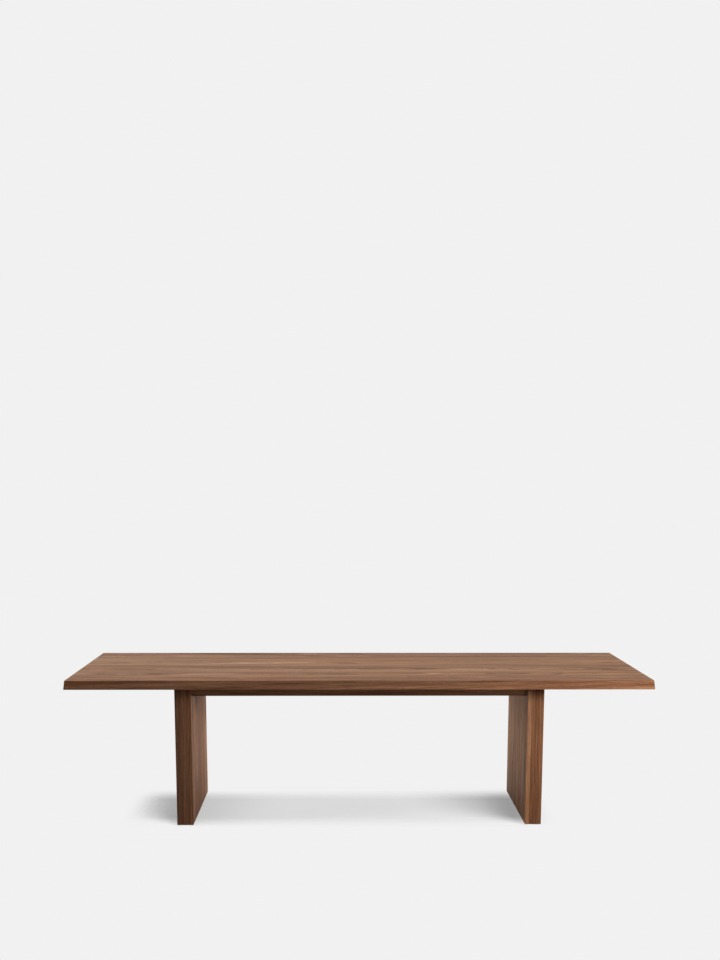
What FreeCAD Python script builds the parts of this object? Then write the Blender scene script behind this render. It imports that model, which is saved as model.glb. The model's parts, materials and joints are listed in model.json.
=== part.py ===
import FreeCAD, Part
import math
import os
import re
import Sketcher

# Dining table: a plank top with leaning edges on two slab legs, in millimetres.
# X runs along the length, -Y is the front and +Z is up. The origin is on the floor, at the centre.

SIZES = {
    # Whole table and plank top
    "table_height": 750,
    "top_length": 2800,
    "top_width": 1000,
    "top_thickness": 43,
    "edge_slope": 5,
    "arris_radius": 1.5,
    "spline_stop": 60,
    "spline_width": 24,
    "spline_thickness": 8,
    # Slab legs: two skins of upright boards on a frame of stiles
    "leg_inset": 500,
    "leg_thickness": 80,
    "leg_depth": 680,
    "skin_thickness": 20,
    "stile_width": 60,
    "core_stile_width": 70,
    "foot_block_height": 50,
    # Underframe
    "rail_height": 60,
    "rail_thickness": 30,
    "rail_setback": 20,
    "end_rail_thickness": 40,
    "cross_rail_thickness": 30,
    "cross_rail_offset": 275,
    "tenon_length": 18,
    "tenon_thickness": 12,
    "tenon_shoulder": 10,
    # Leg bolts, washers and threaded inserts
    "bolt_setback": 100,
    "bolt_diameter": 8,
    "bolt_head_rim": 4,
    "bolt_head_height": 6,
    "bolt_socket_width": 5,
    "bolt_socket_depth": 4,
    "washer_rim": 7,
    "washer_thickness": 2,
    "insert_wall": 3,
    # Clips that hold the top down on the rails
    "clip_width": 25,
    "clip_thickness": 2.5,
    "clip_drop": 10,
    "clip_tongue": 9,
    "clip_tab": 26,
    "clip_bend_radius": 1.5,
    "clip_setback": 45,
    # Stiffening channels let into the underside of the overhangs
    "channel_setback": 195,
    "channel_stop": 100,
    "channel_width": 40,
    "channel_wall": 3,
    "slot_play": 0.75,
    "slot_travel": 8,
    # Screws of the clips and channels
    "screw_diameter": 4.5,
    "screw_length": 17,
    "screw_tip": 4,
    "screw_head_diameter": 9,
    "screw_head_height": 3,
    # Floor glides and their screws
    "glide_diameter": 36,
    "glide_height": 4,
    "glide_chamfer": 1,
    "glide_web": 1,
    "glide_screw_recess": 0.5,
    "glide_screw_diameter": 4,
    "glide_screw_length": 25,
    "glide_screw_tip": 5,
    "glide_screw_head_diameter": 8,
    # Play between pieces that fit together, and the reach of cutting shapes past what they cut
    "clearance": 0.2,
    "overrun": 10,
}

# Widths of the boards across each panel, from front to back
TOP_BOARD_SHARES = (0.126, 0.118, 0.131, 0.122, 0.124, 0.134, 0.119, 0.126)
LEG_BOARD_SHARES = (0.19, 0.22, 0.18, 0.21, 0.20)

# How deep an insert goes into its stile, and a channel into the top
INSERT_DEPTH_SHARE = 0.55
CHANNEL_DEPTH_SHARE = 0.3

# The rounding of a screw head: the part of its radius that is flat, and of its height that is straight
HEAD_FLAT_SHARE = 0.6
HEAD_STRAIGHT_SHARE = 0.4

# The corner of a hexagon over its half width across flats
HEXAGON_CORNER_SHARE = 1 / math.cos(math.pi / 6)

PLACES = {
    "underside": "table_height - top_thickness",
    "spline_length": "top_length - 2 * spline_stop",
    "spline_bottom": "underside + (top_thickness - spline_thickness) / 2",
    "leg_reach": "top_length / 2 - leg_inset",
    "leg_inner_reach": "leg_reach - leg_thickness",
    "leg_height": "underside - glide_height",
    "core_thickness": "leg_thickness - 2 * skin_thickness",
    "stile_reach": "leg_depth / 2 - stile_width",
    "rail_reach": "leg_depth / 2 - rail_setback",
    "rail_inner_reach": "rail_reach - rail_thickness",
    "rail_bottom": "underside - rail_height",
    "rail_middle": "underside - rail_height / 2",
    "tenon_height": "rail_height - 2 * tenon_shoulder",
    "end_rail_reach": "leg_inner_reach - end_rail_thickness / 2",
    "end_rail_inner_reach": "leg_inner_reach - end_rail_thickness",
    "bolt_spread": "stile_reach - bolt_setback",
    "bolt_hole": "bolt_diameter + 2 * clearance",
    "bolt_seat_reach": "end_rail_inner_reach - washer_thickness",
    "bolt_length": "insert_reach + insert_length - bolt_seat_reach",
    "insert_reach": "leg_inner_reach + skin_thickness",
    "insert_length": f"core_thickness * {INSERT_DEPTH_SHARE}",
    "insert_diameter": "bolt_hole + 2 * insert_wall",
    "clip_middle": "underside - clip_drop - clip_thickness / 2",
    "clip_riser_reach": "clip_bend_radius + clearance",
    "clip_hole_reach": "clip_riser_reach + (clip_thickness + clip_tab) / 2",
    "inner_clip_reach": "cross_rail_offset - cross_rail_thickness / 2 - clip_setback",
    "outer_clip_reach": "end_rail_inner_reach - clip_setback",
    "channel_reach": "leg_reach + channel_setback",
    "channel_length": "top_width - 2 * channel_stop",
    "channel_height": f"top_thickness * {CHANNEL_DEPTH_SHARE}",
    "channel_groove": "channel_width + 2 * clearance",
    "flange_spacing": "channel_width - channel_wall",
    "flange_groove": "channel_wall + 2 * clearance",
    "screw_hole": "screw_diameter + 2 * clearance",
    "slot_width": "screw_diameter + 2 * slot_play",
    "slot_length": "slot_width + slot_travel",
    "glide_reach": "leg_reach - leg_thickness / 2",
    "glide_side_reach": "leg_depth / 2 - stile_width / 2",
    "glide_seat_depth": "glide_height - glide_web",
    "glide_screw_hole": "glide_screw_diameter + 2 * clearance",
    "glide_screw_seat": "glide_screw_head_diameter + 2 * clearance",
    "glide_screw_end": "glide_web + glide_screw_length",
}

# Points closer than this are the same
SAME_PLACE = 1e-6

SIDES = ("left", "right")
SIGN = {"left": "-", "right": ""}
TURN = {"left": 0, "right": 180}
BASE = ("Placement.Base.x", "Placement.Base.y", "Placement.Base.z")
UP = FreeCAD.Rotation()
ALONG_X = {
    "left": FreeCAD.Rotation(FreeCAD.Vector(0, 1, 0), -90),
    "right": FreeCAD.Rotation(FreeCAD.Vector(0, 1, 0), 90),
}

doc = FreeCAD.newDocument("dining_table")
sheet = doc.addObject("Spreadsheet::Sheet", "sizes")
for row, (alias, number) in enumerate(SIZES.items(), start=1):
    sheet.set(f"A{row}", alias)
    sheet.set(f"B{row}", str(number))
    sheet.setAlias(f"B{row}", alias)
doc.recompute()

pieces = []


def formula(text):
    """Write a formula in the names of sizes and places as one on the sheet's cells."""

    def cell(match):
        word = match.group(0)
        if word in PLACES:
            return f"({formula(PLACES[word])})"
        return f"sizes.{word}" if word in SIZES else word

    return re.sub(r"[a-z][a-z0-9_]*", cell, text)


def bind(item, formulas):
    """Tie an object's properties to formulas."""
    for name, text in formulas.items():
        item.setExpression(name, formula(text))


# Plain shapes and what is done with them

def block(name, size, low):
    """Make a box from its side lengths and its lowest corner."""
    item = doc.addObject("Part::Box", name)
    bind(item, dict(zip(("Length", "Width", "Height"), size)))
    bind(item, dict(zip(BASE, low)))
    return item


def rod(name, diameter, length, start, turn):
    """Make a cylinder from the centre of its first end, turned from +Z."""
    item = doc.addObject("Part::Cylinder", name)
    item.Placement = FreeCAD.Placement(FreeCAD.Vector(), turn)
    bind(item, {"Radius": f"({diameter}) / 2", "Height": length})
    bind(item, dict(zip(BASE, start)))
    return item


def together(name, items):
    """Take several shapes that lie apart as one."""
    item = doc.addObject("Part::MultiFuse", name)
    item.Shapes = items
    return item


def cut(name, base, tool):
    """Cut the shape of a tool out of a base."""
    item = doc.addObject("Part::Cut", name)
    item.Base = base
    item.Tool = tool
    return item


def turned_about_z(angle):
    """Give a placement at the origin, turned about Z by an angle in degrees."""
    return FreeCAD.Placement(FreeCAD.Vector(), FreeCAD.Rotation(FreeCAD.Vector(0, 0, 1), angle))


def copies(name, master, spots):
    """Set linked copies of a piece as one group. Each spot is a place and a turn about Z in degrees."""
    links = []
    for number, (place, angle) in enumerate(spots, start=1):
        link = doc.addObject("App::Link", f"{name}_{number}")
        link.LinkedObject = master
        link.Placement = turned_about_z(angle)
        bind(link, dict(zip(BASE, place)))
        links.append(link)
    group = doc.addObject("Part::Compound", name)
    group.Links = links
    pieces.append(group)


# Bodies, their sketches and features

def new_body(name):
    """Start a piece that is made by features."""
    return doc.addObject("PartDesign::Body", name)


def sketch_on(body, role, out="0"):
    """Start a sketch on an origin plane of a body, at a distance along the plane's normal."""
    plane = next(item for item in body.Origin.OriginFeatures if item.Role == role)
    sketch = body.newObject("Sketcher::SketchObject", f"{body.Name}_sketch")
    sketch.AttachmentSupport = (plane, [""])
    sketch.MapMode = "FlatFace"
    bind(sketch, {"AttachmentOffset.Base.z": out})
    return sketch


def hold(sketch, text, kind, *geometry):
    """Add a dimension to a sketch, with its present value last, and tie it to a formula."""
    index = sketch.addConstraint(Sketcher.Constraint(kind, *geometry))
    sketch.renameConstraint(index, f"size_{index}")
    bind(sketch, {f"Constraints.size_{index}": text})


def hold_point(sketch, geometry, point, place):
    """Hold a point of a sketch at a place from the sketch's origin."""
    here = sketch.getPoint(geometry, point)
    hold(sketch, place[0], "DistanceX", -1, 1, geometry, point, here.x)
    hold(sketch, place[1], "DistanceY", -1, 1, geometry, point, here.y)


def polygon(sketch, corners):
    """Draw a closed outline through corners given as formulas."""
    count = len(corners)
    first = sketch.GeometryCount
    angles = [math.tau * (n + 1 / 3) / count for n in range(count)]
    ring = [FreeCAD.Vector(math.cos(angle), math.sin(angle), 0) for angle in angles]
    for n in range(count):
        sketch.addGeometry(Part.LineSegment(ring[n], ring[(n + 1) % count]), False)
    for n in range(count):
        follower = first + (n + 1) % count
        sketch.addConstraint(Sketcher.Constraint("Coincident", first + n, 2, follower, 1))
    for n, corner in enumerate(corners):
        hold_point(sketch, first + n, 1, corner)


def rectangle(sketch, width, height, x="0", y="0"):
    """Draw a rectangle about a centre."""
    left, right = f"{x} - ({width}) / 2", f"{x} + ({width}) / 2"
    low, high = f"{y} - ({height}) / 2", f"{y} + ({height}) / 2"
    polygon(sketch, ((left, low), (right, low), (right, high), (left, high)))


def circle(sketch, diameter, x="0", y="0"):
    """Draw a circle about a centre."""
    centre = FreeCAD.Vector(1, 1, 0)
    index = sketch.addGeometry(Part.Circle(centre, FreeCAD.Vector(0, 0, 1), 1), False)
    hold(sketch, f"({diameter}) / 2", "Radius", index, 1)
    hold_point(sketch, index, 3, (x, y))


def slot(sketch, width, length, x, y):
    """Draw a round-ended slot along the sketch's second axis, about a centre."""
    first = sketch.GeometryCount
    upward = FreeCAD.Vector(0, 0, 1)
    near, far = FreeCAD.Vector(2, 1, 0), FreeCAD.Vector(2, 3, 0)
    side = FreeCAD.Vector(1, 0, 0)
    sketch.addGeometry(Part.LineSegment(near + side, far + side), False)
    sketch.addGeometry(Part.ArcOfCircle(Part.Circle(far, upward, 1), 0, math.pi), False)
    sketch.addGeometry(Part.LineSegment(far - side, near - side), False)
    sketch.addGeometry(Part.ArcOfCircle(Part.Circle(near, upward, 1), math.pi, math.tau), False)
    for n in range(4):
        follower = first + (n + 1) % 4
        sketch.addConstraint(Sketcher.Constraint("Coincident", first + n, 2, follower, 1))
    low, high = f"{y} - ({length} - ({width})) / 2", f"{y} + ({length} - ({width})) / 2"
    left, right = f"{x} - ({width}) / 2", f"{x} + ({width}) / 2"
    hold_point(sketch, first, 1, (right, low))
    hold_point(sketch, first, 2, (right, high))
    hold_point(sketch, first + 2, 1, (left, high))
    hold_point(sketch, first + 2, 2, (left, low))
    hold(sketch, high, "DistanceY", -1, 1, first + 1, 3, far.y)
    hold(sketch, low, "DistanceY", -1, 1, first + 3, 3, near.y)


def pad(body, sketch, length, side="One side"):
    """Raise a sketch into a solid along its normal, or to both sides of its plane."""
    feature = body.newObject("PartDesign::Pad", f"{body.Name}_pad")
    feature.Profile = sketch
    feature.SideType = side
    bind(feature, {"Length": length})
    doc.recompute()
    return feature


def pocket(body, sketch, depth, side="One side"):
    """Cut a sketch into a body along its normal, or to both sides of its plane."""
    feature = body.newObject("PartDesign::Pocket", f"{body.Name}_pocket")
    feature.Profile = sketch
    feature.SideType = side
    feature.Reversed = True
    bind(feature, {"Length": depth})
    doc.recompute()
    return feature


def turning(body, sketch, axis):
    """Turn a half profile about an axis of its sketch."""
    feature = body.newObject("PartDesign::Revolution", f"{body.Name}_turning")
    feature.Profile = sketch
    feature.ReferenceAxis = (sketch, [axis])
    doc.recompute()
    return feature


def ease(body, feature, radius, wanted):
    """Round the edges of a feature whose ends pass a test against the box of the whole shape."""
    box = feature.Shape.BoundBox
    edges = []
    for number, edge in enumerate(feature.Shape.Edges, start=1):
        if wanted([vertex.Point for vertex in edge.Vertexes], box):
            edges.append(f"Edge{number}")
    rounding = body.newObject("PartDesign::Fillet", f"{body.Name}_rounding")
    rounding.Base = (feature, edges)
    bind(rounding, {"Radius": radius})
    doc.recompute()
    return rounding


def level(points, axis, place):
    """Say whether all points lie at a place along an axis."""
    return all(abs(getattr(point, axis) - place) < SAME_PLACE for point in points)


# Boards

def joint_places(width, shares):
    """Give the Y places of the joints between the boards of a panel, from front to back."""
    return [f"{width} * ({sum(shares[:n]) - 0.5:.4f})" for n in range(1, len(shares))]


def board_middles(width, shares):
    """Give the Y places of the middles of the boards of a panel, from front to back."""
    return [f"{width} * ({sum(shares[:n]) + share / 2 - 0.5:.4f})" for n, share in enumerate(shares)]


def saw(panel, name, width, shares):
    """Part a panel into its boards at their joints."""
    bounds = [f"-{width} / 2 - overrun", *joint_places(width, shares), f"{width} / 2 + overrun"]
    for number, (front, back) in enumerate(zip(bounds, bounds[1:]), start=1):
        strip = block(
            f"{name}_strip_{number}",
            ("top_length + 2 * overrun", f"{back} - ({front})", "table_height + 2 * overrun"),
            ("-top_length / 2 - overrun", front, "-overrun"),
        )
        board = doc.addObject("Part::Common", f"{name}_{number}")
        board.Base = panel
        board.Tool = strip
        pieces.append(board)


# Places that several pieces share

def bolt_places():
    """Give the Y places of a leg's bolts."""
    return ["-bolt_spread", "0", "bolt_spread"]


def rail_clip_places():
    """Give the X places of the clips along a long rail."""
    return ["-outer_clip_reach", "-inner_clip_reach", "inner_clip_reach", "outer_clip_reach"]


def end_clip_places():
    """Give the Y places of the clips along an end rail, each between two bolts."""
    return ["-bolt_spread / 2", "bolt_spread / 2"]


def clip_screw_places():
    """Give the X, Y places of the screws through the clips."""
    places = []
    for sign in SIGN.values():
        places += [(x, f"{sign}(rail_inner_reach - clip_hole_reach)") for x in rail_clip_places()]
        places += [(f"{sign}(end_rail_inner_reach - clip_hole_reach)", y) for y in end_clip_places()]
    return places


def channel_screw_places():
    """Give the X, Y places of the screws through the channels, one in each board that is crossed whole."""
    middles = board_middles("top_width", TOP_BOARD_SHARES)[1:-1]
    return [(f"{sign}channel_reach", y) for sign in SIGN.values() for y in middles]


# Plank top

def make_top():
    """Make the plank top, with its splines in stopped grooves and its holes for screws."""
    panel = new_body("top_panel")
    outline = sketch_on(panel, "XY_Plane", "underside")
    rectangle(outline, "top_length", "top_width")
    slab = pad(panel, outline, "top_thickness")
    bind(slab, {"TaperAngle": "-atan(edge_slope / top_thickness)"})
    doc.recompute()
    ease(panel, slab, "arris_radius", lambda points, box: True)

    for side in SIDES:
        middle = f"{SIGN[side]}channel_reach"
        length = "channel_length + 2 * clearance"
        recess = sketch_on(panel, "XY_Plane", "underside")
        rectangle(recess, "channel_groove", length, middle)
        pocket(panel, recess, "channel_wall + clearance")
        grooves = sketch_on(panel, "XY_Plane", "underside")
        for flange in SIDES:
            rectangle(grooves, "flange_groove", length, f"{middle} + {SIGN[flange]}flange_spacing / 2")
        pocket(panel, grooves, "channel_height + clearance")

    splines = []
    hollows = []
    for number, joint in enumerate(joint_places("top_width", TOP_BOARD_SHARES), start=1):
        size = ("spline_length", "spline_width", "spline_thickness")
        low = ("-spline_length / 2", f"{joint} - spline_width / 2", "spline_bottom")
        roomy_size = [f"{side} + 2 * clearance" for side in size]
        roomy_low = [f"{place} - clearance" for place in low]
        splines.append(block(f"top_spline_{number}", size, low))
        hollows.append(block(f"spline_groove_{number}", roomy_size, roomy_low))
    for number, (x, y) in enumerate(clip_screw_places() + channel_screw_places(), start=1):
        hollows.append(rod(f"screw_hole_{number}", "screw_hole", "screw_length", (x, y, "underside"), UP))
    machined = cut("machined_top", panel, together("top_hollows", hollows))
    saw(machined, "top_board", "top_width", TOP_BOARD_SHARES)
    pieces.append(together("top_splines", splines))


# Slab legs

def inward(side, start, stop):
    """Give the lowest X of a layer between two depths in from a leg's outer face."""
    return f"-leg_reach + {start}" if side == "left" else f"leg_reach - ({stop})"


def leg_skin(name, side, start, outward, shares, bored):
    """Make one face of a leg as a panel of upright boards, eased where it shows."""
    middle = f"{inward(side, start, f'{start} + skin_thickness')} + skin_thickness / 2"
    panel = new_body(f"{name}_panel")
    outline = sketch_on(panel, "XY_Plane", "glide_height")
    rectangle(outline, "skin_thickness", "leg_depth", middle)
    board = pad(panel, outline, "leg_height")
    ease(panel, board, "arris_radius", lambda points, box: (
        level(points, "x", getattr(box, outward)) and not level(points, "z", box.ZMax)
    ))
    if bored:
        holes = sketch_on(panel, "YZ_Plane", middle)
        for place in bolt_places():
            circle(holes, "bolt_hole", place, "rail_middle")
        pocket(panel, holes, "skin_thickness + overrun", "Symmetric")
    saw(panel, name, "leg_depth", shares)


def leg_frame(side):
    """Make the stiles between a leg's skins and the blocks that close it at the floor."""
    low = inward(side, "skin_thickness", "leg_thickness - skin_thickness")
    glide_x = f"{SIGN[side]}glide_reach"
    edges = {"front": ("-leg_depth / 2", "-glide_side_reach"), "back": ("stile_reach", "glide_side_reach")}
    for end, (front, glide_y) in edges.items():
        name = f"{side}_leg_{end}_stile"
        blank = block(
            f"{name}_blank",
            ("core_thickness", "stile_width", "leg_height"),
            (low, front, "glide_height"),
        )
        place = (glide_x, glide_y, "glide_height")
        bore = rod(f"{name}_bore", "glide_screw_hole", "glide_screw_length", place, UP)
        pieces.append(cut(name, blank, bore))

    blanks = []
    bores = []
    for number, place in enumerate(bolt_places(), start=1):
        blanks.append(block(
            f"{side}_core_stile_{number}",
            ("core_thickness", "core_stile_width", "leg_height"),
            (low, f"{place} - core_stile_width / 2", "glide_height"),
        ))
        start = (f"{SIGN[side]}insert_reach", place, "rail_middle")
        bores.append(rod(
            f"{side}_insert_bore_{number}",
            "insert_diameter + 2 * clearance",
            "insert_length + clearance",
            start,
            ALONG_X[side],
        ))
    stiles = together(f"{side}_core_blanks", blanks)
    pieces.append(cut(f"{side}_leg_core_stiles", stiles, together(f"{side}_insert_bores", bores)))

    fronts = ["-stile_reach", *(f"{place} + core_stile_width / 2" for place in bolt_places())]
    backs = [*(f"{place} - core_stile_width / 2" for place in bolt_places()), "stile_reach"]
    blocks = []
    for number, (front, back) in enumerate(zip(fronts, backs), start=1):
        blocks.append(block(
            f"{side}_foot_block_{number}",
            ("core_thickness", f"{back} - ({front})", "foot_block_height"),
            (low, front, "glide_height"),
        ))
    pieces.append(together(f"{side}_leg_foot_blocks", blocks))


def make_legs():
    """Make both slab legs."""
    faces = {"left": ("XMin", "XMax"), "right": ("XMax", "XMin")}
    for side in SIDES:
        outer, inner = faces[side]
        leg_skin(f"{side}_leg_outer_board", side, "0", outer, LEG_BOARD_SHARES, False)
        inner_start = "leg_thickness - skin_thickness"
        leg_skin(f"{side}_leg_inner_board", side, inner_start, inner, LEG_BOARD_SHARES[::-1], True)
        leg_frame(side)


# Underframe

def long_rail(name, angle):
    """Make a rail between the legs, with mortises and clip slots in its inner face."""
    rail = new_body(name)
    outline = sketch_on(rail, "XY_Plane", "rail_bottom")
    rectangle(outline, "2 * leg_inner_reach", "rail_thickness", y="-rail_reach + rail_thickness / 2")
    beam = pad(rail, outline, "rail_height")
    ease(rail, beam, "arris_radius", lambda points, box: (
        level(points, "z", box.ZMin) and (level(points, "y", box.YMin) or level(points, "y", box.YMax))
    ))
    mortises = sketch_on(rail, "XZ_Plane", "rail_inner_reach")
    for side in SIDES:
        for reach in ("end_rail_reach", "cross_rail_offset"):
            rectangle(
                mortises,
                "tenon_thickness + 2 * clearance",
                "tenon_height + 2 * clearance",
                f"{SIGN[side]}{reach}",
                "rail_middle",
            )
    pocket(rail, mortises, "tenon_length + clearance")
    slots = sketch_on(rail, "XZ_Plane", "rail_inner_reach")
    for x in rail_clip_places():
        clip_slot(slots, x)
    pocket(rail, slots, "clip_tongue + clearance")
    rail.Placement = turned_about_z(angle)
    pieces.append(rail)


def clip_slot(sketch, place):
    """Draw the slot that takes a clip's tongue."""
    rectangle(sketch, "clip_width + 2 * clearance", "clip_thickness + 2 * clearance", place, "clip_middle")


def short_rail(name, thickness, reach):
    """Make a rail between the long rails, with a tenon at each end."""
    rail = new_body(name)
    outline = sketch_on(rail, "XY_Plane", "rail_bottom")
    rectangle(outline, thickness, "2 * rail_inner_reach", reach)
    pad(rail, outline, "rail_height")
    tenons = sketch_on(rail, "XY_Plane", "rail_bottom + tenon_shoulder")
    rectangle(tenons, "tenon_thickness", "2 * (rail_inner_reach + tenon_length)", reach)
    pad(rail, tenons, "tenon_height")
    pieces.append(rail)
    return rail


def end_rail(side):
    """Make a short rail that is bolted to a leg, with slots for two clips."""
    reach = f"{SIGN[side]}end_rail_reach"
    rail = short_rail(f"{side}_end_rail", "end_rail_thickness", reach)
    holes = sketch_on(rail, "YZ_Plane", reach)
    for place in bolt_places():
        circle(holes, "bolt_hole", place, "rail_middle")
    pocket(rail, holes, "end_rail_thickness + overrun", "Symmetric")
    slots = sketch_on(rail, "YZ_Plane", f"{SIGN[side]}end_rail_inner_reach")
    for y in end_clip_places():
        clip_slot(slots, y)
    cutting = pocket(rail, slots, "clip_tongue + clearance")
    cutting.Reversed = side == "right"


def make_underframe():
    """Make the two long rails, the end rails and the cross rails."""
    long_rail("front_rail", 0)
    long_rail("back_rail", 180)
    for side in SIDES:
        end_rail(side)
        short_rail(f"{side}_cross_rail", "cross_rail_thickness", f"{SIGN[side]}cross_rail_offset")


# Fasteners of the legs

def make_bolts():
    """Make the bolts that hold the legs, with their washers and threaded inserts."""
    bolt = new_body("bolt")
    profile = sketch_on(bolt, "XZ_Plane")
    shank, head = "bolt_diameter / 2", "bolt_diameter / 2 + bolt_head_rim"
    polygon(profile, (
        ("-bolt_length", "0"), ("bolt_head_height", "0"), ("bolt_head_height", head),
        ("0", head), ("0", shank), ("-bolt_length", shank),
    ))
    turning(bolt, profile, "H_Axis")
    socket = sketch_on(bolt, "YZ_Plane", "bolt_head_height - bolt_socket_depth")
    angles = [math.tau * n / 6 for n in range(6)]
    corner = f"bolt_socket_width / 2 * {HEXAGON_CORNER_SHARE:.4f}"
    polygon(socket, [(f"{corner} * ({math.cos(a):.4f})", f"{corner} * ({math.sin(a):.4f})") for a in angles])
    pocket(bolt, socket, "bolt_socket_depth + overrun")

    washer = new_body("washer")
    ring = sketch_on(washer, "YZ_Plane")
    circle(ring, "bolt_hole + 2 * washer_rim")
    circle(ring, "bolt_hole")
    pad(washer, ring, "washer_thickness")

    insert = new_body("insert")
    sleeve = sketch_on(insert, "YZ_Plane")
    circle(sleeve, "insert_diameter")
    circle(sleeve, "bolt_hole")
    pad(insert, sleeve, "insert_length")

    def spots(reach):
        return [
            ((f"{SIGN[side]}({reach})", place, "rail_middle"), TURN[side])
            for side in SIDES for place in bolt_places()
        ]

    copies("leg_bolts", bolt, spots("bolt_seat_reach"))
    copies("leg_bolt_washers", washer, spots("end_rail_inner_reach"))
    copies("leg_inserts", insert, spots("insert_reach + insert_length"))


# Fixings of the top

def make_clips():
    """Make the Z-shaped clips that are slotted into the rails and screwed to the top."""
    clip = new_body("clip")
    profile = sketch_on(clip, "YZ_Plane")
    near, far, tip = (f"clip_riser_reach + {reach}" for reach in ("0", "clip_thickness", "clip_tab"))
    foot = "-clip_drop - clip_thickness"
    polygon(profile, (
        ("-clip_tongue", foot), (far, foot), (far, "-clip_thickness"), (tip, "-clip_thickness"),
        (tip, "0"), (near, "0"), (near, "-clip_drop"), ("-clip_tongue", "-clip_drop"),
    ))
    strap = pad(clip, profile, "clip_width", "Symmetric")

    def inside_bend(points, box):
        ends = level(points, "y", box.YMin) or level(points, "y", box.YMax)
        faces = level(points, "z", box.ZMin) or level(points, "z", box.ZMax)
        return not (ends or faces or level(points, "x", points[0].x))

    def outside_bend(points, box):
        low = level(points, "z", box.ZMin) and not level(points, "y", box.YMin)
        high = level(points, "z", box.ZMax) and not level(points, "y", box.YMax)
        return (low or high) and not level(points, "x", points[0].x)

    bent = ease(clip, strap, "clip_bend_radius", inside_bend)
    ease(clip, bent, "clip_bend_radius + clip_thickness", outside_bend)
    hole = sketch_on(clip, "XY_Plane", "-clip_thickness")
    circle(hole, "screw_hole", y="clip_hole_reach")
    pocket(clip, hole, "clip_thickness + overrun")
    along = [((x, f"{sign}rail_inner_reach", "underside"), turn)
             for sign, turn in (("-", 0), ("", 180)) for x in rail_clip_places()]
    across = [((f"{sign}end_rail_inner_reach", y, "underside"), turn)
              for sign, turn in (("-", -90), ("", 90)) for y in end_clip_places()]
    copies("top_clips", clip, along + across)


def make_screws():
    """Make the screws that hold the clips and the channels to the top."""
    screw = new_body("screw")
    profile = sketch_on(screw, "XZ_Plane")
    shank, head = "screw_diameter / 2", "screw_head_diameter / 2"
    polygon(profile, (
        ("0", "-screw_head_height"),
        (f"{head} * {HEAD_FLAT_SHARE}", "-screw_head_height"),
        (head, f"-screw_head_height * {HEAD_STRAIGHT_SHARE}"),
        (head, "0"), (shank, "0"), (shank, "screw_length - screw_tip"), ("0", "screw_length"),
    ))
    turning(screw, profile, "V_Axis")
    clip_face = "underside - clip_thickness"
    copies("clip_screws", screw, [((x, y, clip_face), 0) for x, y in clip_screw_places()])
    copies("channel_screws", screw, [((x, y, "underside"), 0) for x, y in channel_screw_places()])


def make_channel(side):
    """Make a steel channel that keeps an overhang flat, slotted so that the wood can move."""
    channel = new_body(f"{side}_stiffener_channel")
    profile = sketch_on(channel, "XZ_Plane")
    middle = f"{SIGN[side]}channel_reach"
    left, right = f"{middle} - channel_width / 2", f"{middle} + channel_width / 2"
    base, web, rim = "underside", "underside + channel_wall", "underside + channel_height"
    polygon(profile, (
        (left, base), (right, base), (right, rim), (f"{right} - channel_wall", rim),
        (f"{right} - channel_wall", web), (f"{left} + channel_wall", web),
        (f"{left} + channel_wall", rim), (left, rim),
    ))
    pad(channel, profile, "channel_length", "Symmetric")
    slots = sketch_on(channel, "XY_Plane", "underside")
    for x, y in channel_screw_places():
        if x == middle:
            slot(slots, "slot_width", "slot_length", x, y)
    pocket(channel, slots, "channel_wall + overrun")
    pieces.append(channel)


# Feet

def make_glides():
    """Make the glides under the legs and the screws that hold them."""
    glide = new_body("glide")
    profile = sketch_on(glide, "XZ_Plane")
    rim, bore, seat = "glide_diameter / 2", "glide_screw_hole / 2", "glide_screw_seat / 2"
    polygon(profile, (
        (seat, "0"), (f"{rim} - glide_chamfer", "0"), (rim, "glide_chamfer"), (rim, "glide_height"),
        (bore, "glide_height"), (bore, "glide_seat_depth"), (seat, "glide_seat_depth"),
    ))
    turning(glide, profile, "V_Axis")

    screw = new_body("glide_screw")
    outline = sketch_on(screw, "XZ_Plane")
    shank, head = "glide_screw_diameter / 2", "glide_screw_head_diameter / 2"
    face = "glide_screw_recess - glide_seat_depth"
    polygon(outline, (
        ("0", face), (head, face), (head, "0"), (shank, "0"),
        (shank, "glide_screw_end - glide_screw_tip"), ("0", "glide_screw_end"),
    ))
    turning(screw, outline, "V_Axis")

    signs = SIGN.values()
    corners = [(f"{end}glide_reach", f"{half}glide_side_reach") for end in signs for half in signs]
    copies("floor_glides", glide, [((x, y, "0"), 0) for x, y in corners])
    copies("glide_screws", screw, [((x, y, "glide_seat_depth"), 0) for x, y in corners])


def check_document():
    """Stop if any object failed, a cut removed nothing or a piece has no sound shape."""
    for item in doc.Objects:
        if "Invalid" in item.State or "Error" in item.State:
            raise RuntimeError(f"{item.Label} failed: {item.State}")
        if item.TypeId == "PartDesign::Pocket" and item.Shape.Volume >= item.BaseFeature.Shape.Volume:
            raise RuntimeError(f"{item.Label} cuts nothing")
    for piece in pieces:
        if piece.Shape.isNull() or not piece.Shape.isValid() or not piece.Shape.Solids:
            raise RuntimeError(f"{piece.Label} has no sound shape")


make_top()
make_legs()
make_underframe()
make_bolts()
make_clips()
for side in SIDES:
    make_channel(side)
make_screws()
make_glides()
doc.recompute()
check_document()
os.makedirs("parts", exist_ok=True)
for piece in pieces:
    piece.Shape.exportStep(f"parts/{piece.Label}.step")
    print(piece.Label, len(piece.Shape.Solids), "solids", round(piece.Shape.Volume), "mm3")
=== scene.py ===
import json
import math
import random

import bpy
from mathutils import Matrix, Vector


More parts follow.
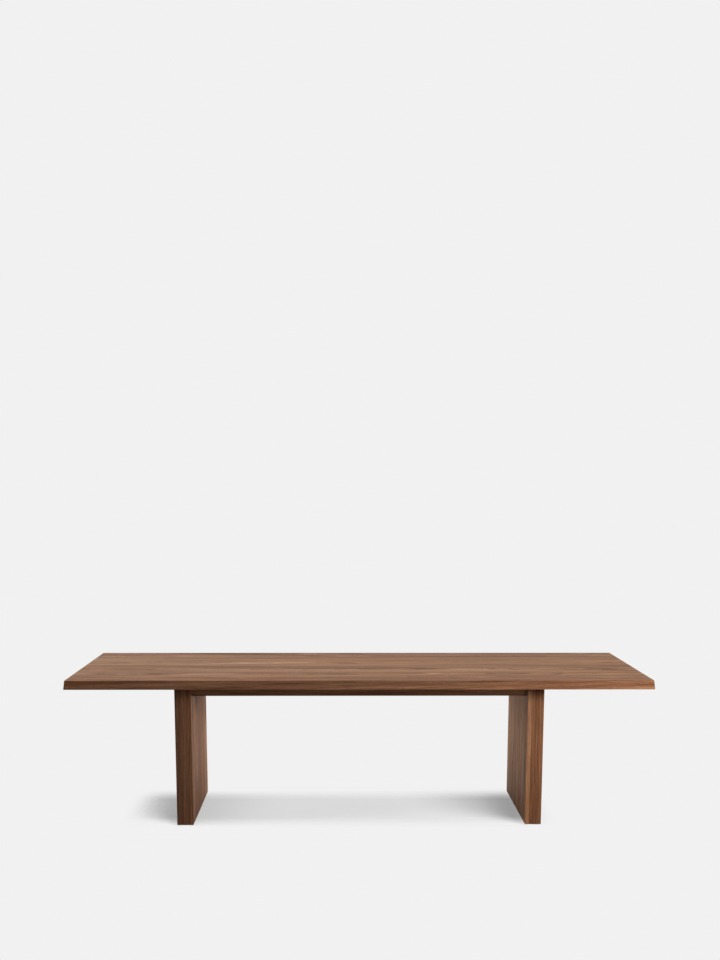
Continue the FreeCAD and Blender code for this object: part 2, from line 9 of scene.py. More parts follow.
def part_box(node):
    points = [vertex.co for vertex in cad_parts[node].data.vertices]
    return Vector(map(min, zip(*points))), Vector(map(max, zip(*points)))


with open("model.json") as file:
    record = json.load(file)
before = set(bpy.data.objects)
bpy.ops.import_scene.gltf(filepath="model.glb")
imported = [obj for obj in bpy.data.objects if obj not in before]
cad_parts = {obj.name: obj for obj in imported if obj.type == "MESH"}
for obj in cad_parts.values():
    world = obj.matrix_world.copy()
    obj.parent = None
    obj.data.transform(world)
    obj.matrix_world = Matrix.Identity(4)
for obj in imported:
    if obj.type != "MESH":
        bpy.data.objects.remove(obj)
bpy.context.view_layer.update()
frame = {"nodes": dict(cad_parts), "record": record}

# The photograph's frame and its camera, fitted to the corners of the top and the legs.
# The focal length and the row of the optical axis are in pixels, the angles in radians.
IMAGE_WIDTH = 720
IMAGE_HEIGHT = 960
FOCAL_PIXELS = 1237.4
OPTICAL_ROW = 700
CAMERA_PLACE = (-0.0996, -6.2710, 1.6551)
CAMERA_PITCH = 0.17111
CAMERA_YAW = -0.01698
CAMERA_ROLL = 0.00198
SENSOR_SIZE = 36.0
FAR_CLIP = 500.0

# Floor and background of one even grey. Shadows show on the floor in a box round the table and
# fade out past it. The glow is the light that the floor throws back.
BACKGROUND_GREY = 241
FLOOR_HALF_SIZE = 120.0
FLOOR_SHADOW_SHARE = 0.9
SHADOW_MIDDLE = (-0.1, 0.0)
SHADOW_HALF_SIZE = (0.95, 0.165)
SHADOW_FADE = (0.17, 0.26)
FLOOR_GLOW = 0.15

# A dim room, dark in front of the table and bright behind it
ROOM_LIGHT = 0.55
ROOM_LEAN = 1.0
ROOM_COLOUR = (1.0, 1.0, 1.02, 1.0)

# Wide lights: the level, then in degrees the height over the floor, the turn from the right to the
# front and the spread
SIDE_LIGHT = (0.58, 42, -12, 50)
SIDE_COLOUR = (1.0, 0.98, 0.93)
RIGHT_FLOOR_LIGHTS = ((2.1, 76, 55, 12), (5.3, 54, 49, 30))
LEFT_FLOOR_LIGHTS = ((2.8, 74, 149, 35), (2.2, 20, 177, 33))

# Soft boxes at the right in front of the table, each for the pieces whose names start with a word:
# the word, the box's height, its power in watts, the angle in degrees that its grid lets through,
# the point that it faces and its colour
KEY_PLACE = (2.7, -2.5)
KEY_SIZE = (1.0, 1.0)
PALE_LIGHT = (1.0, 0.93, 0.95)
WARM_LIGHT = (1.0, 0.89, 0.82)
KEY_LIGHTS = (
    ("top_board_1", 0.9, 100.0, 180, (0.7, -0.4, 0.5), PALE_LIGHT),
    ("front_rail", 0.9, 17.0, 180, (0.7, -0.4, 0.5), PALE_LIGHT),
    ("left_leg", 1.35, 2.2, 20, (-0.86, -0.34, 0.46), PALE_LIGHT),
    ("right_leg", 1.35, 5.1, 26, (0.86, -0.34, 0.46), WARM_LIGHT),
)

# Soft boxes over the top, a cool one at its left end and a pale one over its middle: the name, the
# place, the point that the box faces, its power in watts and its colour
TOP_LIGHT_SIZE = (1.0, 1.0)
TOP_LIGHTS = (
    ("left_top_light", (-2.2, 0.2, 1.7), (-1.1, 0.0, 0.75), 8.0, (0.15, 0.5, 1.0)),
    ("middle_top_light", (-0.3, 0.2, 2.0), (-0.3, 0.0, 0.75), 2.2, (1.0, 0.98, 0.95)),
)

# Long cool soft boxes between the legs, one for each leg's inner face: the start of the boards'
# names, the power in watts and the point that the box faces. The angle that their grid lets through
# is in degrees.
UNDER_PLACE = (0.0, 0.15, 0.5)
UNDER_SIZE = (1.0, 0.2)
UNDER_SPREAD = 60
UNDER_COLOUR = (0.86, 1.0, 1.18)
UNDER_LIGHTS = (
    ("left_leg_inner", 1.25, (-0.82, 0.15, 0.38)),
    ("right_leg_inner", 0.86, (0.82, 0.15, 0.38)),
)

# A soft box that lies on the floor and lights the underside of the top
LOW_PLACE = (0.0, 0.0, 0.02)
LOW_TARGET = (0.0, 0.0, 0.7)
LOW_SIZE = (2.6, 0.56)
LOW_POWER = 9.0

# Sockets of the Mix node when it mixes colours
MIX_FACTOR = 0
MIX_FIRST = 6
MIX_SECOND = 7
MIX_RESULT = 2

# The middle of noise and of a scale of colours, which both run from 0 to 1
MIDDLE = 0.5


def srgb(red, green, blue):
    """A colour given as it shows on screen, 0 to 255, as linear light with full opacity."""
    def linear(level):
        share = level / 255
        if share <= 0.04045:
            return share / 12.92
        return ((share + 0.055) / 1.055) ** 2.4
    return (linear(red), linear(green), linear(blue), 1.0)


def put(tree, kind, inputs=(), **settings):
    """A new node with these settings. Each input is a value or the output of another node."""
    node = tree.nodes.new(kind)
    for name, value in settings.items():
        setattr(node, name, value)
    for key, value in dict(inputs).items():
        if isinstance(value, bpy.types.NodeSocket):
            tree.links.new(value, node.inputs[key])
        else:
            node.inputs[key].default_value = value
    return node


def calculate(tree, operation, *values):
    """The result of one Math node."""
    inputs = dict(enumerate(values))
    return put(tree, "ShaderNodeMath", inputs, operation=operation).outputs[0]


def vector_math(tree, operation, *values):
    """The vector result of one Vector Math node."""
    inputs = dict(enumerate(values))
    return put(tree, "ShaderNodeVectorMath", inputs, operation=operation).outputs["Vector"]


def weigh(tree, start, terms):
    """start plus the sum of each term, taken about its middle, times its weight."""
    total = start - MIDDLE * sum(weight for _, weight in terms)
    for output, weight in terms:
        total = calculate(tree, "MULTIPLY_ADD", output, weight, total)
    return total


def weighted(marks, weights, strength=1.0):
    """Terms to weigh: each named mark with its weight times a strength."""
    return [(marks[name], weight * strength) for name, weight in weights.items()]


def mix_colours(tree, factor, first, second, blend="MIX"):
    """The colour between two colours, or the second laid over the first by a blend mode."""
    inputs = {MIX_FACTOR: factor, MIX_FIRST: first, MIX_SECOND: second}
    node = put(tree, "ShaderNodeMix", inputs, data_type="RGBA", blend_type=blend)
    return node.outputs[MIX_RESULT]


def mix_shaders(tree, factor, first, second):
    """The shader between two shader nodes."""
    inputs = {0: factor, 1: first.outputs[0], 2: second.outputs[0]}
    return put(tree, "ShaderNodeMixShader", inputs)


def ramp(tree, factor, stops):
    """The colour of a factor on a scale of (place, colour) stops."""
    node = put(tree, "ShaderNodeValToRGB", {0: factor})
    elements = node.color_ramp.elements
    while len(elements) < len(stops):
        elements.new(1.0)
    for element, (place, colour) in zip(elements, stops):
        element.position = place
        element.color = colour
    return node.outputs["Color"]


def step_up(tree, value, low, high):
    """0 below low, 1 above high, smooth between."""
    inputs = {"Value": value, "From Min": low, "From Max": high}
    return put(tree, "ShaderNodeMapRange", inputs, interpolation_type="SMOOTHSTEP").outputs[0]


def noise(tree, place, stretch, detail=2.0, roughness=0.5, output="Fac"):
    """Noise that changes so many times a metre along each axis."""
    stretched = vector_math(tree, "MULTIPLY", place, stretch)
    inputs = {"Vector": stretched, "Scale": 1.0, "Detail": detail, "Roughness": roughness}
    return put(tree, "ShaderNodeTexNoise", inputs).outputs[output]


def line_noise(tree, distance, scale, detail=2.0):
    """Noise along one distance."""
    inputs = {"W": distance, "Scale": scale, "Detail": detail}
    return put(tree, "ShaderNodeTexNoise", inputs, noise_dimensions="1D").outputs["Fac"]


def object_places(tree):
    """Places on a piece, in metres in the table's frame."""
    return put(tree, "ShaderNodeTexCoord").outputs["Object"]


def parts_of(tree, vector):
    """The X, Y and Z outputs of a vector."""
    return put(tree, "ShaderNodeSeparateXYZ", {0: vector}).outputs


def new_material(name):
    """A node material, its tree and its surface shader."""
    material = bpy.data.materials.new(name)
    material.use_nodes = True
    tree = material.node_tree
    return material, tree, tree.nodes["Principled BSDF"]


def finish_with(tree, shader, outputs):
    """Links what changes over the surface to the shader's sockets."""
    for name, output in outputs.items():
        tree.links.new(output, shader.inputs[name])


def bump(tree, height, strength, distance):
    """The normal of a surface with this relief."""
    inputs = {"Height": height, "Strength": strength, "Distance": distance}
    return put(tree, "ShaderNodeBump", inputs).outputs["Normal"]


# Colours of the wood from dark to pale: the place on the scale and the colour
WALNUT_STOPS = (
    (0.10, srgb(66, 46, 34)),
    (0.36, srgb(101, 71, 52)),
    (0.54, srgb(127, 91, 67)),
    (0.72, srgb(150, 113, 84)),
    (0.95, srgb(175, 139, 107)),
)
CORE_STOPS = (
    (0.10, srgb(150, 118, 84)),
    (0.45, srgb(176, 145, 108)),
    (0.90, srgb(199, 172, 135)),
)
WARM_TINT = (1.06, 0.99, 0.90, 1.0)
COOL_TINT = (0.98, 1.0, 1.03, 1.0)
END_GRAIN_TINT = (0.62, 0.56, 0.52, 1.0)
PORE_TINT = (0.55, 0.50, 0.47, 1.0)

# Axes in the order along the grain, across the board, through the board
GRAIN_ORDER = {"X": "XYZ", "Y": "YXZ", "Z": "ZYX"}

# How far apart boards lie in the noise and in the log for each step of their seed
PLACE_SHIFT = (3.7, 1.9, 2.3)
RADIUS_SHIFT = 0.61

# How the pith wanders: changes a metre along the three axes, and how far it strays in metres
SWAY_SCALE = (0.8, 2.2, 2.2)
SWAY_REACH = (0.0, 0.055, 0.055)
WOBBLE_SCALE = (4.0, 14.0, 14.0)
WOBBLE_REACH = (0.0, 0.012, 0.012)

# Marks that follow the rings. Scales are changes a metre, steps are where a line starts and is full.
RINGS_A_METRE = 150.0
RING_DRIFT = 3.0
RING_DRIFT_SCALE = 28.0
LATE_SHARPNESS = 3.0
BAND_SCALE = 70.0
DARK_LINE_SCALE = 37.0
DARK_LINE_STEP = (0.58, 0.74)
PALE_LINE_SCALE = 31.0
PALE_LINE_STEP = (0.60, 0.78)
PALE_LINE_SHIFT = 5.0

# Marks along the grain
STREAK_SCALE = (0.6, 10.0, 10.0)
STRIPE_SCALE = (2.2, 70.0, 70.0)
STRIPE_ROUGHNESS = 0.6
FIBRE_SCALE = (8.0, 380.0, 380.0)
TINT_SCALE = (0.5, 4.0, 4.0)
TINT_STEP = (0.3, 0.7)
PORE_SCALE = (45.0, 1000.0, 1000.0)
PORE_STEP = (0.57, 0.66)
PORE_DEPTH = 0.6
END_STEP = (0.5, 0.9)

# How much each mark lightens the wood, roughens it and raises it
FIGURE_WEIGHTS = {
    "bands": 0.70,
    "late": -0.24,
    "dark_lines": -0.20,
    "pale_lines": 0.16,
    "streaks": 0.50,
}
GRAIN_WEIGHTS = {"stripes": 0.60, "fibres": 0.45}
WOOD_ROUGHNESS = 0.66
WOOD_ROUGHNESS_WEIGHTS = {"fibres": 0.20, "pores": 0.16, "ends": 0.16, "stripes": 0.12}
RELIEF_WEIGHTS = {"fibres": 0.5, "pores": -0.8, "late": -0.25}
WOOD_BUMP = (0.35, 0.0006)


def grain_of(node):
    """The axis that a wooden piece's fibres run along: its longest side, unless it is a group."""
    if "foot_blocks" in node:
        return "Y"
    if "core_stiles" in node:
        return "Z"
    low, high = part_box(node)
    size = high - low
    return max("XYZ", key=lambda axis: size["XYZ".index(axis)])


def board_places(tree, node, grain):
    """Places in a board from its middle, turned so that the grain runs along the first axis."""
    low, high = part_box(node)
    from_middle = vector_math(tree, "SUBTRACT", object_places(tree), (low + high) / 2)
    parts = parts_of(tree, from_middle)
    turned = {index: parts[axis] for index, axis in enumerate(GRAIN_ORDER[grain])}
    return put(tree, "ShaderNodeCombineXYZ", turned).outputs[0]


def stray(tree, place, scale, reach):
    """How far the pith strays at a place."""
    drift = noise(tree, place, scale, output="Color")
    drift = vector_math(tree, "SUBTRACT", drift, (MIDDLE, MIDDLE, MIDDLE))
    return vector_math(tree, "MULTIPLY", drift, reach)


def ring_radius(tree, board, place, pith, taper, seed):
    """The distance from a pith that wanders, in a log that thins along its length."""
    across = vector_math(tree, "MULTIPLY", board, (0.0, 1.0, 1.0))
    across = vector_math(tree, "SUBTRACT", across, (0.0, *pith))
    across = vector_math(tree, "ADD", across, stray(tree, place, SWAY_SCALE, SWAY_REACH))
    across = vector_math(tree, "ADD", across, stray(tree, place, WOBBLE_SCALE, WOBBLE_REACH))
    radius = put(tree, "ShaderNodeVectorMath", {0: across}, operation="LENGTH").outputs["Value"]
    radius = calculate(tree, "MULTIPLY_ADD", parts_of(tree, board)[0], taper, radius)
    return calculate(tree, "ADD", radius, seed * RADIUS_SHIFT)


def ring_marks(tree, radius):
    """Late wood, bands and lines that follow the rings."""
    years = calculate(tree, "MULTIPLY", radius, RINGS_A_METRE)
    drift = line_noise(tree, radius, RING_DRIFT_SCALE)
    years = calculate(tree, "MULTIPLY_ADD", drift, RING_DRIFT, years)
    shifted = calculate(tree, "ADD", radius, PALE_LINE_SHIFT)
    return {
        "late": calculate(tree, "POWER", calculate(tree, "FRACT", years), LATE_SHARPNESS),
        "bands": line_noise(tree, radius, BAND_SCALE, detail=3.0),
        "dark_lines": step_up(tree, line_noise(tree, radius, DARK_LINE_SCALE), *DARK_LINE_STEP),
        "pale_lines": step_up(tree, line_noise(tree, shifted, PALE_LINE_SCALE), *PALE_LINE_STEP),
    }


def grain_marks(tree, place):
    """Streaks, stripes, fibres and pores along the grain, and slow changes of hue."""
    return {
        "streaks": noise(tree, place, STREAK_SCALE, detail=3.0),
        "stripes": noise(tree, place, STRIPE_SCALE, detail=3.0, roughness=STRIPE_ROUGHNESS),
        "fibres": noise(tree, place, FIBRE_SCALE),
        "tint": step_up(tree, noise(tree, place, TINT_SCALE), *TINT_STEP),
        "pores": step_up(tree, noise(tree, place, PORE_SCALE, detail=1.0), *PORE_STEP),
    }


def end_grain(tree, grain):
    """1 where the fibres end at the surface, 0 along them."""
    normal = put(tree, "ShaderNodeNewGeometry").outputs["Normal"]
    return step_up(tree, calculate(tree, "ABSOLUTE", parts_of(tree, normal)[grain]), *END_STEP)


def wood(node, stops, tone, pith, taper, seed, gloss, contrast):
    """Solid wood sawn from a log: the rings lie round a pith outside the board.

    tone makes the board lighter or darker, for some boards partly as painted shade and light, pith
    is where the heart of the log lies across and through the board, from the board's middle, taper
    is how much the log thins along its length, gloss is the shine of its oil, and contrast is how
    strongly its rings show.
    """
    material, tree, shader = new_material("wood_" + node)
    grain = grain_of(node)
    board = board_places(tree, node, grain)
    place = vector_math(tree, "ADD", board, [seed * shift for shift in PLACE_SHIFT])
    radius = ring_radius(tree, board, place, pith, taper, seed)
    marks = ring_marks(tree, radius) | grain_marks(tree, place)
    marks["ends"] = end_grain(tree, grain)

    tones = weighted(marks, FIGURE_WEIGHTS, contrast) + weighted(marks, GRAIN_WEIGHTS)
    colour = ramp(tree, weigh(tree, MIDDLE + tone, tones), stops)
    hue = mix_colours(tree, marks["tint"], WARM_TINT, COOL_TINT)
    colour = mix_colours(tree, 1.0, colour, hue, "MULTIPLY")
    pores = calculate(tree, "MULTIPLY", marks["pores"], PORE_DEPTH)
    colour = mix_colours(tree, pores, colour, PORE_TINT, "MULTIPLY")
    colour = mix_colours(tree, marks["ends"], colour, END_GRAIN_TINT, "MULTIPLY")

    relief = weigh(tree, MIDDLE, weighted(marks, RELIEF_WEIGHTS))
    shader.inputs["Specular IOR Level"].default_value = gloss
    finish_with(tree, shader, {
        "Base Color": colour,
        "Roughness": weigh(tree, WOOD_ROUGHNESS, weighted(marks, WOOD_ROUGHNESS_WEIGHTS)),
        "Normal": bump(tree, relief, *WOOD_BUMP),
    })
    return material


# Powder coat, plated metal and nylon: scales are changes a metre, bumps are strength and depth
COAT_PEEL_SCALE = (900.0, 900.0, 900.0)
COAT_CLOUD_SCALE = (9.0, 9.0, 9.0)
COAT_STOPS = ((0.3, srgb(38, 38, 40)), (0.7, srgb(52, 52, 54)))
COAT_ROUGHNESS = 0.52
COAT_ROUGHNESS_WEIGHTS = {"peel": 0.15, "cloud": 0.15}
COAT_BUMP = (0.3, 0.0003)
PLATE_CLOUD_SCALE = (60.0, 60.0, 60.0)
PLATE_ROLLING_SCALE = (40.0, 1800.0, 1800.0)
PLATE_TONE_WEIGHTS = {"cloud": 0.8, "rolling": 0.4}
PLATE_ROUGHNESS = 0.36
PLATE_ROUGHNESS_WEIGHTS = {"cloud": 0.25, "rolling": 0.15}
PLATE_BUMP = (0.2, 0.0001)
ZINC_STOPS = ((0.3, srgb(150, 152, 153)), (0.7, srgb(196, 198, 198)))
BRASS_STOPS = ((0.3, srgb(178, 140, 80)), (0.7, srgb(214, 178, 112)))
NYLON_GRAIN_SCALE = (1200.0, 1200.0, 1200.0)
NYLON_SCUFF_SCALE = (80.0, 300.0, 80.0)
NYLON_STOPS = ((0.35, srgb(58, 50, 45)), (0.7, srgb(78, 68, 61)))
NYLON_ROUGHNESS = 0.55
NYLON_ROUGHNESS_WEIGHTS = {"grain": 0.15, "scuffs": 0.2}
NYLON_BUMP = (0.25, 0.0002)


def powder_coat(name):
    """Black powder-coated steel: a fine orange peel and a soft sheen."""
    material, tree, shader = new_material(name)
    place = object_places(tree)
    marks = {
        "peel": noise(tree, place, COAT_PEEL_SCALE),
        "cloud": noise(tree, place, COAT_CLOUD_SCALE, detail=3.0),
    }
    finish_with(tree, shader, {
        "Base Color": ramp(tree, marks["cloud"], COAT_STOPS),
        "Roughness": weigh(tree, COAT_ROUGHNESS, weighted(marks, COAT_ROUGHNESS_WEIGHTS)),
        "Normal": bump(tree, marks["peel"], *COAT_BUMP),
    })
    return material


def plated_metal(name, stops):
    """Bare or plated metal with a rolled grain and cloudy plating."""
    material, tree, shader = new_material(name)
    place = object_places(tree)
    marks = {
        "cloud": noise(tree, place, PLATE_CLOUD_SCALE, detail=3.0),
        "rolling": noise(tree, place, PLATE_ROLLING_SCALE),
    }
    tone = weigh(tree, MIDDLE, weighted(marks, PLATE_TONE_WEIGHTS))
    shader.inputs["Metallic"].default_value = 1.0
    finish_with(tree, shader, {
        "Base Color": ramp(tree, tone, stops),
        "Roughness": weigh(tree, PLATE_ROUGHNESS, weighted(marks, PLATE_ROUGHNESS_WEIGHTS)),
        "Normal": bump(tree, marks["rolling"], *PLATE_BUMP),
    })
    return material


def moulded_nylon(name):
    """Dark brown nylon with a fine moulded grain."""
    material, tree, shader = new_material(name)
    place = object_places(tree)
    marks = {
        "grain": noise(tree, place, NYLON_GRAIN_SCALE),
        "scuffs": noise(tree, place, NYLON_SCUFF_SCALE, detail=3.0),
    }
    finish_with(tree, shader, {
        "Base Color": ramp(tree, marks["scuffs"], NYLON_STOPS),
        "Roughness": weigh(tree, NYLON_ROUGHNESS, weighted(marks, NYLON_ROUGHNESS_WEIGHTS)),
        "Normal": bump(tree, marks["grain"], *NYLON_BUMP),
    })
    return material


# How much lighter or darker single boards are than the mean: partly the wood's own tone and partly
# painted shade and light. The left leg's boards are set darker and the right leg's inner boards
# lighter, as painted shade and light for light that falls from the right, and the boards at the back
# of the legs' inner faces are set lighter, as painted light from behind.
BOARD_TONES_AND_PAINTED_SHADE = {
    "top_board_1": -0.02,
    "top_board_2": 0.0,
    "top_board_3": -0.01,
    "top_board_4": -0.01,
    "top_board_5": 0.0,
    "top_board_6": 0.04,
    "top_board_7": 0.0,
    "top_board_8": -0.02,
    "left_leg_front_stile": -0.02,
    "left_leg_outer_board_1": -0.19,
    "left_leg_inner_board_1": -0.12,
    "left_leg_inner_board_2": -0.26,
    "left_leg_inner_board_3": -0.22,
    "left_leg_inner_board_4": -0.13,
    "left_leg_inner_board_5": -0.04,
    "right_leg_front_stile": -0.10,
    "right_leg_outer_board_1": 0.04,
    "right_leg_inner_board_1": 0.07,
    "right_leg_inner_board_2": 0.03,
    "right_leg_inner_board_3": 0.01,
    "right_leg_inner_board_4": 0.12,
    "right_leg_inner_board_5": 0.16,
    "front_rail": 0.09,
    "back_rail": 0.0,
}

# Pieces whose rings show faintly, and how faintly
CALM_PIECES = ("top_board_1", "rail", "stile")
CALM_CONTRAST = 0.5

# How the other boards' tones spread, where the pith lies in metres, and how the log thins
SEED = 7
BOARD_SEEDS = (1, 40)
TONE_SPREAD = 0.06
PITH_ACROSS = 0.08
PITH_NEAR = 0.05
PITH_FAR = 0.16
LOG_TAPER = 0.03
TOP_GLOSS = 0.018
FRAME_GLOSS = 0.008


def dress_wood(draw, node, stops):
    """Gives a wooden piece its own cut of wood."""
    tone = draw.uniform(-TONE_SPREAD, TONE_SPREAD)
    across = draw.uniform(-PITH_ACROSS, PITH_ACROSS)
    through = draw.choice((-1, 1)) * draw.uniform(PITH_NEAR, PITH_FAR)
    taper = draw.choice((-1, 1)) * LOG_TAPER
    seed = draw.uniform(*BOARD_SEEDS)
    # Listed boards take their set tone, which is partly painted shade and light, not only the wood's
    # own tone
    tone = BOARD_TONES_AND_PAINTED_SHADE.get(node, tone)
    gloss = TOP_GLOSS if node.startswith("top_") else FRAME_GLOSS
    contrast = CALM_CONTRAST if node.endswith(CALM_PIECES) else 1.0
    return wood(node, stops, tone, (across, through), taper, seed, gloss, contrast)


def dress_nodes():
    """Gives every CAD piece the finish of its slot in the record."""
    draw = random.Random(SEED)
    finishes = {
        "black_steel": powder_coat("black_powder_coat"),
        "zinc_steel": plated_metal("zinc_plate", ZINC_STOPS),
        "insert_brass": plated_metal("plain_brass", BRASS_STOPS),
        "glide_nylon": moulded_nylon("dark_nylon"),
    }
    for part in frame["record"]["subparts"]:
        node = part["node"]
        slot = part["material_slot"]
        if slot in finishes:
            material = finishes[slot]
        else:
            material = dress_wood(draw, node, CORE_STOPS if slot == "core_wood" else WALNUT_STOPS)
        piece = frame["nodes"][node]
        piece.data.materials.clear()
        piece.data.materials.append(material)


def seen_directly(tree):
    """1 for rays from the camera and for reflected and refracted views, 0 for light on its way."""
    rays = put(tree, "ShaderNodeLightPath").outputs
    seen = calculate(tree, "MAXIMUM", rays["Is Camera Ray"], rays["Is Glossy Ray"])
    return calculate(tree, "MAXIMUM", seen, rays["Is Transmission Ray"])


def grey_of(level):
    """A grey with this much light in each channel."""
    return (level, level, level, 1.0)


def background_colour():
    """The grey of the background and the floor."""
    return srgb(BACKGROUND_GREY, BACKGROUND_GREY, BACKGROUND_GREY)


def make_world():
    """A dim room, brighter towards its back, that shows as the even pale background."""
    world = bpy.data.worlds.new("studio")
    world.use_nodes = True
    bpy.context.scene.world = world
    tree = world.node_tree
    tree.nodes.clear()
    direction = put(tree, "ShaderNodeTexCoord").outputs["Generated"]
    towards_back = parts_of(tree, direction)["Y"]
    level = calculate(tree, "MULTIPLY_ADD", towards_back, ROOM_LIGHT * ROOM_LEAN, ROOM_LIGHT)
    room = put(tree, "ShaderNodeBackground", {"Strength": level, "Color": ROOM_COLOUR})
    shown = put(tree, "ShaderNodeBackground", {"Strength": 1.0, "Color": background_colour()})
    mixed = mix_shaders(tree, seen_directly(tree), room, shown)
    put(tree, "ShaderNodeOutputWorld", {"Surface": mixed.outputs[0]})


def shadow_share(tree):
    """How much of the floor's look is lit and shaded: most round the table, none far from it."""
    share = FLOOR_SHADOW_SHARE
    parts = parts_of(tree, object_places(tree))
    for part, middle, reach, fade in zip(parts, SHADOW_MIDDLE, SHADOW_HALF_SIZE, SHADOW_FADE):
        distance = calculate(tree, "ABSOLUTE", calculate(tree, "SUBTRACT", part, middle))
        away = step_up(tree, distance, reach, reach + fade)
        share = calculate(tree, "MULTIPLY", share, calculate(tree, "SUBTRACT", 1.0, away))
    return share


def floor_material():
    """Pale paper that shows the background's grey and the table's shadow, and is clear from below.

    The light that it throws back on the table is set apart from its look.
    """
    material, tree, shader = new_material("pale_floor")
    tree.nodes.remove(shader)
    full_light = ROOM_LIGHT + sum(level for level, *_ in RIGHT_FLOOR_LIGHTS + LEFT_FLOOR_LIGHTS)
    grey = background_colour()
    even = put(tree, "ShaderNodeEmission", {"Color": grey})
    shaded = put(tree, "ShaderNodeBsdfDiffuse", {"Color": grey_of(grey[0] / full_light)})
    shown = mix_shaders(tree, shadow_share(tree), even, shaded)
    bounced = put(tree, "ShaderNodeBsdfDiffuse", {"Color": grey_of(FLOOR_GLOW / full_light)})
    above = mix_shaders(tree, seen_directly(tree), bounced, shown)
    below = put(tree, "ShaderNodeNewGeometry").outputs["Backfacing"]
    both = mix_shaders(tree, below, above, put(tree, "ShaderNodeBsdfTransparent"))
    tree.links.new(both.outputs[0], tree.nodes["Material Output"].inputs["Surface"])
    return material


def make_floor():
    """A wide flat floor under the table."""
    reach = FLOOR_HALF_SIZE
    corners = [(-reach, -reach, 0), (reach, -reach, 0), (reach, reach, 0), (-reach, reach, 0)]
    mesh = bpy.data.meshes.new("studio_floor")
    mesh.from_pydata(corners, [], [(0, 1, 2, 3)])
    mesh.materials.append(floor_material())
    floor = bpy.data.objects.new("studio_floor", mesh)
    bpy.context.scene.collection.objects.link(floor)
    return floor


def add_lamp(name, kind, place, target):
    """A lamp at a place that points at a target."""
    lamp = bpy.data.objects.new(name, bpy.data.lights.new(name, kind))
    lamp.location = place
    direction = Vector(target) - Vector(place)
    lamp.rotation_mode = "QUATERNION"
    lamp.rotation_quaternion = direction.to_track_quat("-Z", "Y")
    bpy.context.scene.collection.objects.link(lamp)
    return lamp


def add_sun(name, light):
    """A wide even light that lights a level surface to its level."""
    level, *angles = light
    height, turn, spread = map(math.radians, angles)
    flat = math.cos(height)
    place = (flat * math.cos(turn), -flat * math.sin(turn), math.sin(height))
    sun = add_lamp(name, "SUN", place, (0, 0, 0))
    sun.data.angle = spread
    sun.data.energy = level * math.pi / math.sin(height)
    return sun


def add_soft_box(name, place, target, size, power):
    """A flat lamp that faces a target and shows neither itself nor its reflection."""
    box = add_lamp(name, "AREA", place, target)
    box.data.shape = "RECTANGLE"
    box.data.size, box.data.size_y = size
    box.data.energy = power
    box.visible_camera = False
    box.visible_glossy = False
    return box


def group(name, objects):
    """A collection of objects that a light is kept to."""
    collection = bpy.data.collections.new(name)
    for item in objects:
        collection.objects.link(item)
    return collection


def pieces(*starts):
    """The pieces whose names start with one of these words."""
    return [piece for node, piece in frame["nodes"].items() if node.startswith(starts)]


def light_floor(floor):
    """Lights from the right that both legs shade, and from the left that the left leg shades."""
    paper = group("floor_paper", [floor])
    left_skins = pieces("left_leg_outer", "left_leg_inner")
    right_skins = pieces("right_leg_outer", "right_leg_inner")
    sides = (
        ("right", RIGHT_FLOOR_LIGHTS, left_skins + right_skins),
        ("left", LEFT_FLOOR_LIGHTS, left_skins),
    )
    for side, lights, boards in sides:
        shading = group(side + "_light_boards", boards)
        for number, light in enumerate(lights):
            sun = add_sun(f"{side}_floor_light_{number}", light)
            sun.light_linking.receiver_collection = paper
            sun.light_linking.blocker_collection = shading


def add_linked_box(start, place, target, size, power, colour, spread):
    """A coloured soft box with a grid that lights only the pieces whose names start with a word."""
    box = add_soft_box(start + "_light", place, target, size, power)
    box.data.color = colour
    box.data.spread = math.radians(spread)
    box.light_linking.receiver_collection = group(start + "_lit", pieces(start))


def light_inner_faces():
    """Soft boxes between the legs."""
    for start, power, target in UNDER_LIGHTS:
        add_linked_box(start, UNDER_PLACE, target, UNDER_SIZE, power, UNDER_COLOUR, UNDER_SPREAD)


def light_top():
    """Soft boxes over the top."""
    boards = group("top_boards", pieces("top_board"))
    for name, place, target, power, colour in TOP_LIGHTS:
        box = add_soft_box(name, place, target, TOP_LIGHT_SIZE, power)
        box.data.color = colour
        box.light_linking.receiver_collection = boards


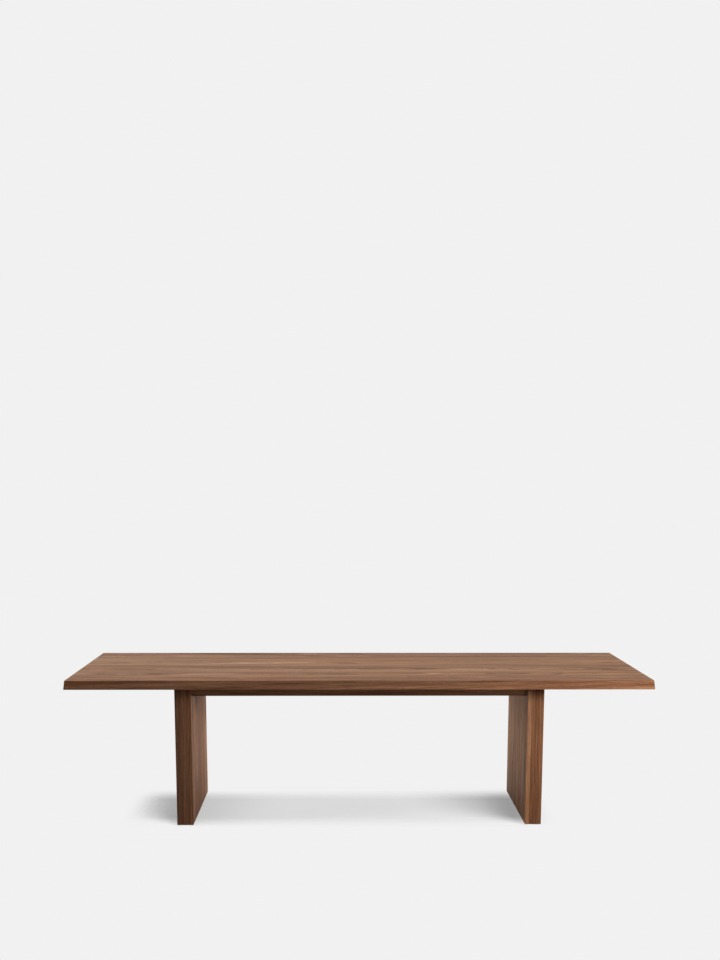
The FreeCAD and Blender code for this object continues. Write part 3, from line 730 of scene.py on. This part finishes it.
def light_underside():
    """A soft box on the floor that lights all but the legs."""
    box = add_soft_box("low_light", LOW_PLACE, LOW_TARGET, LOW_SIZE, LOW_POWER)
    legs = pieces("left_leg", "right_leg")
    others = [piece for piece in frame["nodes"].values() if piece not in legs]
    box.light_linking.receiver_collection = group("top_and_frame", others)


def light_front():
    """Soft boxes in front of the table."""
    for start, height, power, spread, target, colour in KEY_LIGHTS:
        add_linked_box(start, (*KEY_PLACE, height), target, KEY_SIZE, power, colour, spread)


def light_table():
    """A wide light from the right, and soft boxes for the faces that need more light."""
    side = add_sun("side_light", SIDE_LIGHT)
    side.data.color = SIDE_COLOUR
    side.light_linking.receiver_collection = group("table_pieces", frame["nodes"].values())
    light_inner_faces()
    light_top()
    light_underside()
    light_front()


def make_camera():
    """The camera of the photograph: it looks down a little, and its frame is shifted up."""
    data = bpy.data.cameras.new("camera")
    camera = bpy.data.objects.new("camera", data)
    forward = Vector((-math.sin(CAMERA_YAW), math.cos(CAMERA_YAW), 0))
    right = Vector((math.cos(CAMERA_YAW), math.sin(CAMERA_YAW), 0))
    upward = Vector((0, 0, 1))
    look = forward * math.cos(CAMERA_PITCH) - upward * math.sin(CAMERA_PITCH)
    top = forward * math.sin(CAMERA_PITCH) + upward * math.cos(CAMERA_PITCH)
    rolled_right = right * math.cos(CAMERA_ROLL) + top * math.sin(CAMERA_ROLL)
    rolled_top = top * math.cos(CAMERA_ROLL) - right * math.sin(CAMERA_ROLL)
    turn = Matrix((rolled_right, rolled_top, -look)).transposed()
    camera.matrix_world = Matrix.Translation(CAMERA_PLACE) @ turn.to_4x4()
    long_side = max(IMAGE_WIDTH, IMAGE_HEIGHT)
    data.sensor_width = SENSOR_SIZE
    data.lens = SENSOR_SIZE * FOCAL_PIXELS / long_side
    data.shift_y = (OPTICAL_ROW - IMAGE_HEIGHT / 2) / long_side
    data.clip_end = FAR_CLIP
    bpy.context.scene.collection.objects.link(camera)
    bpy.context.scene.camera = camera


dress_nodes()
make_world()
light_floor(make_floor())
light_table()
make_camera()
bpy.context.scene.view_settings.view_transform = "Standard"
